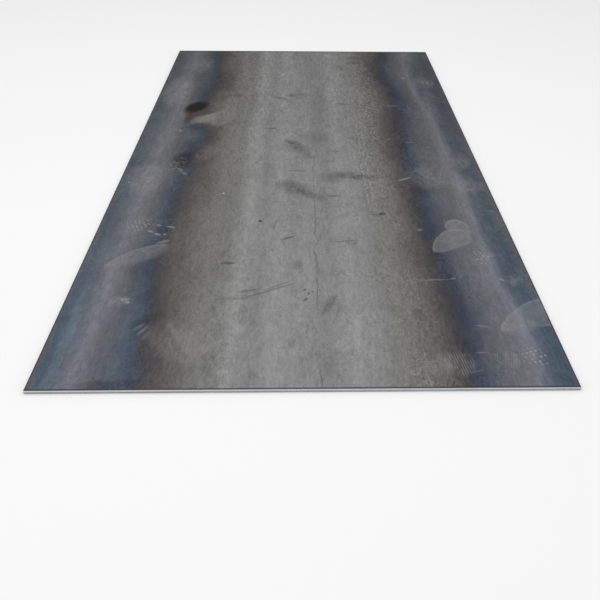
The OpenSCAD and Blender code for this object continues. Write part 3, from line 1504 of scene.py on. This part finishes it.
class TopFinish(ScaleMaker):
    """Mill scale of the top face, with everything that lies on it."""

    CRACK_WIDTH = Slope(0.3 * MILLIMETRE, 2.4 * MILLIMETRE, 1.0, 0.0)
    CRACK_STRETCH = Slope(-0.45, 0.25, 1.0, 0.35)
    CRACK_GAPS = Slope(0.42, 0.56, 0.12, 1.0)
    CRACK_SOOT = 0.42
    CRACK_HEIGHT = -0.8
    RIDGE_STARTS = Slope(-0.60, -0.25)
    RIDGE_ENDS = Slope(0.15, 0.75, 1.0, 0.2)
    RIDGE_GAPS = Slope(0.38, 0.52, 0.25, 1.0)
    RIDGE_WIDTH = Slope(0.5 * MILLIMETRE, 4.5 * MILLIMETRE, 1.0, 0.0)
    RIDGE_OFFSET = 2.8 * MILLIMETRE
    WORMS = Lumps(52.0, 3.0, 0.55, 1.4, (1.0, 0.55, 1.0))
    WORM_LEVELS = (0.50, 0.56)
    WORM_WIDTH = Slope(0.0, 0.042, 1.0, 0.0)
    # Painted highlight on the crests of wormy ridges, and painted shade in the hollows beside them.
    CREST_LIGHT = 0.26
    CREST_HEIGHT = 0.9
    HOLLOW_SHADE = 0.26
    PITS_PER_METRE = 34.0
    PIT_LEAST = 0.05
    PIT_SPREAD = 0.08
    PIT_LUCK = 0.72
    PIT_SOOT = 0.45
    SMUDGE_MOTTLE = Slope(0.38, 0.60, 0.45, 1.35)
    WEDGE_REACH = Slope(-0.44, -0.25, 0.115, 0.0)
    PATCH_BUFF = 0.38
    PEBBLES = Lumps(150.0, 2.0, 0.6, 0.8)
    PEBBLE_LEVEL = Slope(0.50, 0.64)
    # A dark band along the face's borders: the scale rolled round the edge with painted shade of that edge,
    # wider at the far end.
    RIM_WIDTH = Slope(2.5 * MILLIMETRE, 6.5 * MILLIMETRE, 0.9, 0.0)
    RIM_FAR_EXTRA = 8.0 * MILLIMETRE
    PATCH_CURLS_PER_METRE = 15.0
    PATCH_CURLS = 0.7
    PATCH_HAZE = 0.40
    WIPED_CURLS_PER_METRE = 30.0
    WIPED_SHARE = Slope(0.42, 0.62, 0.02, 0.10)
    FILM_MOTTLE = Slope(0.3, 0.7, 0.75, 1.1)
    FILM_RIM = 0.45
    STUDS_PER_METRE = 82.0
    STUDS_TURN = (0.0, 0.0, math.radians(20.0))
    BARS_PER_METRE = 158.0
    FAN_PER_METRE = 95.0
    PRINT_WEAR = Slope(0.36, 0.60, 0.25, 1.0)
    MOST_DARK = 0.8
    MOST_BLACK = 0.95
    MOST_DUST = 0.85
    MOST_CHALK = 0.9

    def __init__(self, effects: Effects, finish: ScaleFinish) -> None:
        """Starts the material with a true position and three uneven ones for outlines.

        Args:
            effects: The shared node groups.
            finish: The finish's plain values.
        """
        super().__init__(effects, finish)
        self.plain = self.sketch.axes(self.position)[:2]
        self.steady = self.uneven(reach=0.008, per_metre=20.0)
        self.ragged = self.uneven(reach=0.026, per_metre=30.0)
        self.bent = self.uneven(reach=0.030, per_metre=7.0)

    def uneven(self, reach: float, per_metre: float) -> tuple[Socket, Socket]:
        """A place on the face that is dragged about, so that outlines drawn on it are uneven.

        Args:
            reach: How far it is dragged.
            per_metre: Lumps of the dragging noise in each metre.

        Returns:
            The place's X and Y.
        """
        place = self.sketch.use(self.effects.wander, Position=self.position, Reach=reach, Per_Metre=per_metre)
        return self.sketch.axes(place.outputs[0])[:2]

    def drawn(self, group: bpy.types.NodeTree, marks: Sequence[Mark], place: tuple[Socket, Socket],
              output: str = "Mask", join: str = "ADD", **extra: float) -> Socket:
        """Draws several marks of one kind.

        Args:
            group: The node group that draws one mark.
            marks: The marks.
            place: The X and Y where the marks are read.
            output: The group's output that is used.
            join: Blender's name of the way in which overlapping marks join.
            **extra: Further inputs of the group.

        Returns:
            The joined masks.
        """
        sketch = self.sketch
        x, y = place
        nodes = [sketch.use(group, X=x, Y=y, **mark.sockets(), **extra) for mark in marks]
        return reduce(partial(sketch.math, join), [node.outputs[output] for node in nodes])

    def beside(self, line: JaggedLine) -> Socket:
        """Distance to the right of a jagged line along the plate, below 0 on its left.

        Args:
            line: The line.

        Returns:
            The distance.
        """
        sketch = self.sketch
        bends = sketch.lump(self.position, line.bends)
        place = sketch.math("MULTIPLY_ADD", bends, 2.0 * line.sway, line.x - line.sway)
        return sketch.math("SUBTRACT", self.plain[0], place)

    def crack(self) -> Socket:
        """A fine dark line along the plate, strongest at the near end.

        Returns:
            Its mask.
        """
        sketch = self.sketch
        line = sketch.ease(sketch.math("ABSOLUTE", self.beside(CRACK)), *self.CRACK_WIDTH)
        stretch = sketch.ease(self.plain[1], *self.CRACK_STRETCH)
        return sketch.product(line, stretch, sketch.ease(self.grain["Cloud"], *self.CRACK_GAPS))

    def ridges(self) -> list[Socket]:
        """Jagged ridges along the plate, where a lap of scale was rolled in.

        Returns:
            Their sides that take a painted highlight and their sides that take painted shade.
        """
        sketch = self.sketch
        _, along = self.plain
        gaps = [self.beside(line) for line in RIDGES]
        shown = sketch.product(
            sketch.ease(along, *self.RIDGE_STARTS),
            sketch.ease(along, *self.RIDGE_ENDS),
            sketch.ease(self.grain["Mottle"], *self.RIDGE_GAPS),
        )
        sides = []
        for offset in (-self.RIDGE_OFFSET, self.RIDGE_OFFSET):
            away = [sketch.math("ABSOLUTE", sketch.math("ADD", gap, offset)) for gap in gaps]
            nearest = sketch.math("MINIMUM", *away)
            sides.append(sketch.product(sketch.ease(nearest, *self.RIDGE_WIDTH), shown))
        return sides

    def worms(self) -> list[Socket]:
        """Wormy ridges where scale was rolled in: thin bands about two levels of a noise, and long ridges.

        Returns:
            The crests, which are raised and take a painted highlight, and the hollows beside them, which take
            painted shade.
        """
        sketch = self.sketch
        zone = self.drawn(self.effects.spot, WORM_PLACES, self.bent)
        lumps = sketch.lump(self.position, self.WORMS)
        sides = []
        for level, ridge in zip(self.WORM_LEVELS, self.ridges()):
            away = sketch.math("ABSOLUTE", sketch.math("SUBTRACT", lumps, level))
            worm = sketch.product(sketch.ease(away, *self.WORM_WIDTH), zone)
            sides.append(sketch.math("MAXIMUM", worm, ridge))
        return sides

    def pits(self) -> Socket:
        """Small dark pits: the places near some of the points of a scatter.

        Returns:
            Their mask.
        """
        sketch = self.sketch
        scatter = sketch.cells(self.position, self.PITS_PER_METRE)
        luck, size, _ = sketch.axes(scatter.outputs["Color"])
        radius = sketch.math("MULTIPLY_ADD", size, self.PIT_SPREAD, self.PIT_LEAST)
        pit = sketch.ease(scatter.outputs["Distance"], 0.0, radius, 1.0, 0.0)
        return sketch.product(pit, sketch.math("GREATER_THAN", luck, self.PIT_LUCK))

    def build(self) -> bpy.types.Material:
        """Lays tint, streaks, marks and dust over each other.

        Returns:
            The material.
        """
        sketch, spot = self.sketch, self.effects.spot
        crest, hollow = self.worms()
        crack = self.crack()
        colour = self.scale(self.shift(), self.drawn(spot, BLUE_GLINTS, self.bent))
        # Painted highlight on the crests of the wormy ridges.
        colour = sketch.blend(sketch.product(crest, self.CREST_LIGHT), colour, DirtColour.CHALKY.value)
        colour = self.darken(colour, hollow, crack)
        dust = self.dust()
        colour = sketch.blend(dust, colour, DirtColour.DUST.value)
        colour = self.dark_spots(colour)
        chalk = sketch.total(self.drawn(spot, SCRATCHES, self.steady), self.drawn(spot, SPECKS, self.plain))
        colour = sketch.blend(sketch.math("MINIMUM", chalk, self.MOST_CHALK), colour, DirtColour.CHALKY.value)
        # Painted shade of the rolled edge, with its dark scale, along the borders of the face.
        colour = sketch.blend(self.rim(), colour, EndColour.PULLED.value)
        relief = self.relief((crest, self.CREST_HEIGHT), (crack, self.CRACK_HEIGHT))
        return self.close(colour, self.roughness(dust), relief)

    def shift(self) -> Socket:
        """How far the tint bands are moved from their mean places, most of all in the wedge by the scorch.

        Returns:
            The way towards the side.
        """
        sketch = self.sketch
        wedge = self.drawn(self.effects.film, (WEDGE,), self.steady, "Fill")
        reach = sketch.ease(self.plain[0], *self.WEDGE_REACH)
        moves = self.drawn(self.effects.spot, BAND_SHIFTS, self.bent)
        return sketch.math("MULTIPLY_ADD", wedge, reach, moves)

    def rim(self) -> Socket:
        """The dark line along the borders of the face: the scale rolled round the edge, with painted shade of
        that edge.

        Returns:
            Its mask.
        """
        sketch, form = self.sketch, self.effects.form
        across, along = self.plain
        side = sketch.math("SUBTRACT", 0.5 * form.width, sketch.math("ABSOLUTE", across))
        end = sketch.math("SUBTRACT", 0.5 * form.length, sketch.math("ABSOLUTE", along))
        at_far = sketch.math("GREATER_THAN", along, 0.0)
        end = sketch.math("MULTIPLY_ADD", at_far, -self.RIM_FAR_EXTRA, end)
        return sketch.ease(sketch.math("MINIMUM", side, end), *self.RIM_WIDTH)

    def darken(self, colour: Socket, hollow: Socket, crack: Socket) -> Socket:
        """Lays soot into smudges, scuffs, pits and the crack, and painted shade into the wormy ridges'
        hollows.

        Args:
            colour: The colour so far.
            hollow: The sides of wormy ridges that take painted shade.
            crack: The crack.

        Returns:
            The colour with them.
        """
        sketch, spot = self.sketch, self.effects.spot
        smudge = self.drawn(spot, SMUDGES, self.ragged)
        dark = sketch.total(
            sketch.product(smudge, sketch.ease(self.grain["Mottle"], *self.SMUDGE_MOTTLE)),
            self.drawn(spot, SCUFFS, self.steady),
            sketch.product(self.pits(), self.PIT_SOOT),
            # Painted shade in the hollows beside the wormy ridges.
            sketch.product(hollow, self.HOLLOW_SHADE),
            sketch.product(crack, self.CRACK_SOOT),
        )
        return sketch.blend(sketch.math("MINIMUM", dark, self.MOST_DARK), colour, DirtColour.SOOT.value)

    def dark_spots(self, colour: Socket) -> Socket:
        """Lays two dark spots into the left tint bands, the first with a buff patch beside it.

        A pebbled sole print follows: its dark oval is a painted dark reflection, its pebbles are dust.

        Args:
            colour: The colour so far.

        Returns:
            The colour with the spots.
        """
        sketch, spot = self.sketch, self.effects.spot
        buff_patch = self.drawn(self.effects.film, (BUFF_PATCH,), self.steady, "Fill")
        black = self.drawn(spot, BLACK_SPOTS, self.steady)
        pebbles = sketch.ease(sketch.lump(self.position, self.PEBBLES), *self.PEBBLE_LEVEL)
        layers = (
            (sketch.product(buff_patch, self.PATCH_BUFF), DirtColour.BUFF),
            (self.drawn(spot, (DARK_OVAL,), self.steady), DirtColour.BURNT),
            (sketch.math("MINIMUM", black, self.MOST_BLACK), DirtColour.CHAR),
            # The print's dark oval: a painted dark reflection, in the soot colour.
            (self.drawn(spot, (PEBBLE_PRINT,), self.ragged), DirtColour.SOOT),
            (sketch.product(pebbles, self.drawn(spot, (PEBBLE_SPECKS,), self.ragged)), DirtColour.DUST),
        )
        for share, dirt in layers:
            colour = sketch.blend(share, colour, dirt.value)
        return colour

    def dust(self) -> Socket:
        """Dust patches, wiped curls, dried films and sole prints, as one share of cover.

        Returns:
            The share of the surface that dust covers.
        """
        sketch, effects, grain = self.sketch, self.effects, self.grain
        curls, wiped = (sketch.use(effects.wisps, Position=self.position, Per_Metre=rate).outputs[0]
                        for rate in (self.PATCH_CURLS_PER_METRE, self.WIPED_CURLS_PER_METRE))
        curls = sketch.math("MULTIPLY_ADD", curls, self.PATCH_CURLS, self.PATCH_HAZE)
        fill, rim = (self.drawn(effects.film, DRY_FILMS, self.bent, output, "MAXIMUM")
                     for output in ("Fill", "Rim"))
        fill = sketch.product(fill, sketch.ease(grain["Mottle"], *self.FILM_MOTTLE))
        stud = sketch.use(effects.studs, Position=self.position, Turn=self.STUDS_TURN,
                          Per_Metre=self.STUDS_PER_METRE).outputs[0]
        bars = self.drawn(effects.bars, BAR_PRINTS, self.plain, Per_Metre=self.BARS_PER_METRE)
        fans = self.drawn(effects.bars, FAN_PRINTS, self.ragged, Per_Metre=self.FAN_PER_METRE)
        cover = sketch.total(
            sketch.product(self.drawn(effects.spot, DUST_PATCHES, self.ragged), curls),
            sketch.product(wiped, sketch.ease(grain["Cloud"], *self.WIPED_SHARE)),
            sketch.math("MULTIPLY_ADD", rim, self.FILM_RIM, fill),
            sketch.product(self.drawn(effects.spot, STUD_PRINTS, self.ragged), stud),
            sketch.product(sketch.total(bars, fans), sketch.ease(grain["Mottle"], *self.PRINT_WEAR)),
        )
        return sketch.math("MINIMUM", cover, self.MOST_DUST)


class UndersideFinish(ScaleMaker):
    """Mill scale of the underside: tint and streaks, with a little rust bloom."""

    BLOOM = Slope(0.56, 0.74, 0.0, 0.40)
    BLOOM_HEIGHT = 0.8

    def build(self) -> bpy.types.Material:
        """Lays rust over the scale.

        Returns:
            The material.
        """
        bloom = self.sketch.ease(self.grain["Cloud"], *self.BLOOM)
        colour = self.sketch.blend(bloom, self.scale(), DirtColour.RUST.value)
        return self.close(colour, self.roughness(bloom), self.relief((bloom, self.BLOOM_HEIGHT)))


class SideFinish(FinishMaker):
    """The rounded mill edge: dark scale, rubbed bright in places, with rust in the scale's gaps."""

    SCALE_RUN = ((0.30, ScaleColour.NAVY), (0.50, ScaleColour.PLUM), (0.72, ScaleColour.STORM))
    MOTTLE = 0.6
    TOOTH = 0.5
    BLOOM = Slope(0.52, 0.70, 0.0, 0.50)
    SCRAPES = Lumps(160.0, 4.0, 0.65, share=(1.0, 0.22, 2.0))
    RUB = Slope(0.58, 0.72, 0.0, 0.45)
    ROUGH = 0.62
    RUB_SMOOTHS = 0.25
    TOOTH_HEIGHT = 0.6
    SCRAPE_HEIGHT = 0.8

    def build(self) -> bpy.types.Material:
        """Lays rust and rubbing over dark scale.

        Returns:
            The material.
        """
        sketch, grain = self.sketch, self.grain
        colour = sketch.ramp(grain["Cloud"], [(place, scale.value) for place, scale in self.SCALE_RUN])
        colour = self.vary(colour, (grain["Mottle"], self.MOTTLE), (grain["Tooth"], self.TOOTH))
        colour = sketch.blend(sketch.ease(grain["Mottle"], *self.BLOOM), colour, DirtColour.RUST.value)
        scrape = sketch.lump(self.position, self.SCRAPES)
        rub = sketch.ease(scrape, *self.RUB)
        colour = sketch.blend(rub, colour, EndColour.CUT.value)
        rough = sketch.math("MULTIPLY_ADD", rub, -self.RUB_SMOOTHS, self.ROUGH)
        scraped = sketch.product(scrape, self.SCRAPE_HEIGHT)
        height = sketch.math("MULTIPLY_ADD", grain["Tooth"], self.TOOTH_HEIGHT, scraped)
        return self.close(colour, rough, height)


class EndFinish(FinishMaker):
    """A sheared end: dark pulled-in corner, bright smooth band with blade marks, grainy broken zone."""

    BLADE = Lumps(380.0, 4.0, 0.6, share=(1.0, 1.0, 0.08))
    DASHES = Lumps(420.0, 3.0, 0.6, share=(0.03, 1.0, 1.0))
    CRUMBS = Lumps(900.0, 3.0, 0.65)
    BORDER = Lumps(18.0, 3.0, 0.6, share=(1.0, 0.0, 0.0))
    BORDER_SWAY = 1.2 * MILLIMETRE
    BORDER_SOFT = 0.7 * MILLIMETRE
    PULLED = Slope(0.4, 1.2, 0.9, 0.0)
    CUT_BLADE = 0.5
    CUT_DASHES = 0.5
    BROKEN_CRUMBS = 0.6
    BROKEN_DASHES = 0.9
    BLOOM = Slope(0.55, 0.72, 0.0, 0.20)
    ROUGH = 0.26
    ROUGH_BLADE = 0.16
    ROUGH_BROKEN = 0.22
    BLADE_HEIGHT = 0.5
    CRUMB_HEIGHT = 1.6

    def depth(self) -> Socket:
        """Depth below the face with the pulled-in corner, which is the underside at the far end.

        Returns:
            The depth.
        """
        sketch = self.sketch
        _, along, up = sketch.axes(self.position)
        from_top = sketch.math("SUBTRACT", self.effects.form.thickness, up)
        at_far = sketch.math("GREATER_THAN", along, 0.0)
        return sketch.math("ADD", from_top, sketch.product(at_far, sketch.math("SUBTRACT", up, from_top)))

    def build(self) -> bpy.types.Material:
        """Lays the three zones by their depth below the face with the pulled-in corner.

        Returns:
            The material.
        """
        sketch, form = self.sketch, self.effects.form
        depth = self.depth()
        blade, dashes, crumbs, sway = (sketch.lump(self.position, lumps)
                                       for lumps in (self.BLADE, self.DASHES, self.CRUMBS, self.BORDER))
        highest = form.break_start - self.BORDER_SWAY
        border = sketch.math("MULTIPLY_ADD", sway, 2.0 * self.BORDER_SWAY, highest)
        broken = sketch.ease(depth, border, sketch.math("ADD", border, self.BORDER_SOFT))
        pulled = sketch.ease(sketch.math("DIVIDE", depth, form.pull_in), *self.PULLED)
        cut = self.vary(EndColour.CUT.value, (blade, self.CUT_BLADE), (dashes, self.CUT_DASHES))
        rubble = self.vary(EndColour.BROKEN.value, (crumbs, self.BROKEN_CRUMBS), (dashes, self.BROKEN_DASHES))
        bloom = sketch.ease(self.grain["Mottle"], *self.BLOOM)
        rubble = sketch.blend(bloom, rubble, DirtColour.RUST.value)
        colour = sketch.blend(broken, cut, rubble)
        colour = sketch.blend(pulled, colour, EndColour.PULLED.value)
        rough = sketch.math("MULTIPLY_ADD", blade, self.ROUGH_BLADE, self.ROUGH)
        rough = sketch.math("MULTIPLY_ADD", broken, self.ROUGH_BROKEN, rough)
        marks = sketch.product(blade, self.BLADE_HEIGHT)
        height = sketch.math("MULTIPLY_ADD", sketch.product(crumbs, broken), self.CRUMB_HEIGHT, marks)
        return self.close(colour, rough, height)


@dataclass(frozen=True)
class PhotoCamera:
    """The camera at the photograph's viewing angle.

    Attributes:
        place: Where it stands.
        lens: Focal length in millimetres.
        sensor: Width of the sensor in millimetres.
        pitch: How far it looks down, in degrees.
        yaw: How far it looks to the right of straight along the plate, in degrees.
        roll: How far it is turned about its own axis, in degrees.
        shift: How far the frame lies to the right of the lens axis, as a share of its width.
    """

    place: tuple[float, float, float] = (-0.0026, -2.4252, 1.1025)
    lens: float = 42.74
    sensor: float = 36.0
    pitch: float = 35.79
    yaw: float = 1.863
    roll: float = 0.888
    shift: float = -0.0373

    def build(self) -> bpy.types.Object:
        """Makes the camera and looks through it.

        Returns:
            The camera.
        """
        data = bpy.data.cameras.new("camera")
        data.sensor_width = self.sensor
        data.lens = self.lens
        data.shift_x = self.shift
        camera = bpy.data.objects.new("camera", data)
        bpy.context.scene.collection.objects.link(camera)
        pitch, yaw, roll = (math.radians(angle) for angle in (self.pitch, self.yaw, self.roll))
        ahead = Vector((math.sin(yaw) * math.cos(pitch), math.cos(yaw) * math.cos(pitch), -math.sin(pitch)))
        right = Vector((math.cos(yaw), -math.sin(yaw), 0.0))
        above = right.cross(ahead)
        side = right * math.cos(roll) + above * math.sin(roll)
        upward = above * math.cos(roll) - right * math.sin(roll)
        turn = Matrix((side, upward, -ahead)).transposed()
        camera.matrix_world = Matrix.Translation(self.place) @ turn.to_4x4()
        bpy.context.scene.camera = camera
        return camera


@dataclass(frozen=True)
class Studio:
    """Pale floor and soft, even light.

    Attributes:
        floor_reach: Half the floor's side.
        floor_drop: How far the floor lies under the plate, so that the two don't flicker.
        floor_colour: The floor's colour.
        floor_roughness: The floor's roughness.
        floor_specular: Strength of the floor's clear reflection.
        sky_colour: Colour of the light from all round.
        sky_strength: Strength of the light from all round.
        key_place: Where the large lamp hangs.
        key_side: Side of the large lamp.
        key_power: Power of the large lamp in watts.
    """

    floor_reach: float = 60.0
    floor_drop: float = 0.3 * MILLIMETRE
    floor_colour: Colour = seen(243, 243, 243)
    floor_roughness: float = 0.9
    floor_specular: float = 0.1
    sky_colour: Colour = (1.0, 1.0, 1.0, 1.0)
    sky_strength: float = 0.79
    key_place: tuple[float, float, float] = (-0.6, -1.0, 5.0)
    key_side: float = 4.0
    key_power: float = 83.0

    def floor(self) -> bpy.types.Object:
        """Lays the floor: a square on a grid of two parameters.

        Returns:
            The floor.
        """
        ends = np.array([-self.floor_reach, self.floor_reach])
        x, y = np.meshgrid(ends, ends, indexing="ij")
        points = np.stack([x, y, np.full_like(x, -self.floor_drop)], axis=-1).reshape(-1, 3)
        mesh = bpy.data.meshes.new("floor")
        mesh.from_pydata(points.tolist(), [], [(0, 2, 3, 1)])
        material = bpy.data.materials.new("pale_floor")
        material.use_nodes = True
        shader = material.node_tree.nodes["Principled BSDF"]
        shader.inputs["Base Color"].default_value = self.floor_colour
        shader.inputs["Roughness"].default_value = self.floor_roughness
        shader.inputs["Specular IOR Level"].default_value = self.floor_specular
        mesh.materials.append(material)
        floor = bpy.data.objects.new("floor", mesh)
        bpy.context.scene.collection.objects.link(floor)
        return floor

    def light(self) -> None:
        """Sets the light from all round and hangs the large lamp."""
        scene = bpy.context.scene
        world = scene.world or bpy.data.worlds.new("studio")
        scene.world = world
        world.use_nodes = True
        background = world.node_tree.nodes["Background"]
        background.inputs["Color"].default_value = self.sky_colour
        background.inputs["Strength"].default_value = self.sky_strength
        data = bpy.data.lights.new("large_lamp", "AREA")
        data.shape = "SQUARE"
        data.size = self.key_side
        data.energy = self.key_power
        lamp = bpy.data.objects.new("large_lamp", data)
        scene.collection.objects.link(lamp)
        lamp.location = self.key_place
        lamp.rotation_euler = (Vector((0.0, 0.0, 0.0)) - lamp.location).to_track_quat("-Z", "Y").to_euler()
        scene.view_settings.view_transform = "Standard"


def main() -> None:
    """Builds the plate, dresses it and sets the studio around it."""
    logging.basicConfig(level=logging.INFO, format="%(message)s")
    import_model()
    PhotoCamera().build()
    form = PlateForm.of_node(PLATE_NODE)
    effects = Effects(form)
    materials = {
        Region.TOP: TopFinish(effects, TOP_SCALE).build(),
        Region.UNDERSIDE: UndersideFinish(effects, UNDER_SCALE).build(),
        Region.SHEARED_END: EndFinish(effects, SHEARED_END).build(),
        Region.MILL_EDGE: SideFinish(effects, MILL_EDGE).build(),
    }
    plate = SteelPlate(form, materials).build()
    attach(plate, PLATE_BODY)
    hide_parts(PLATE_NODE)
    LOG.info("%s: %d faces", plate.name, len(plate.data.polygons))
    studio = Studio()
    studio.floor()
    studio.light()


if __name__ == "__main__":
    main()
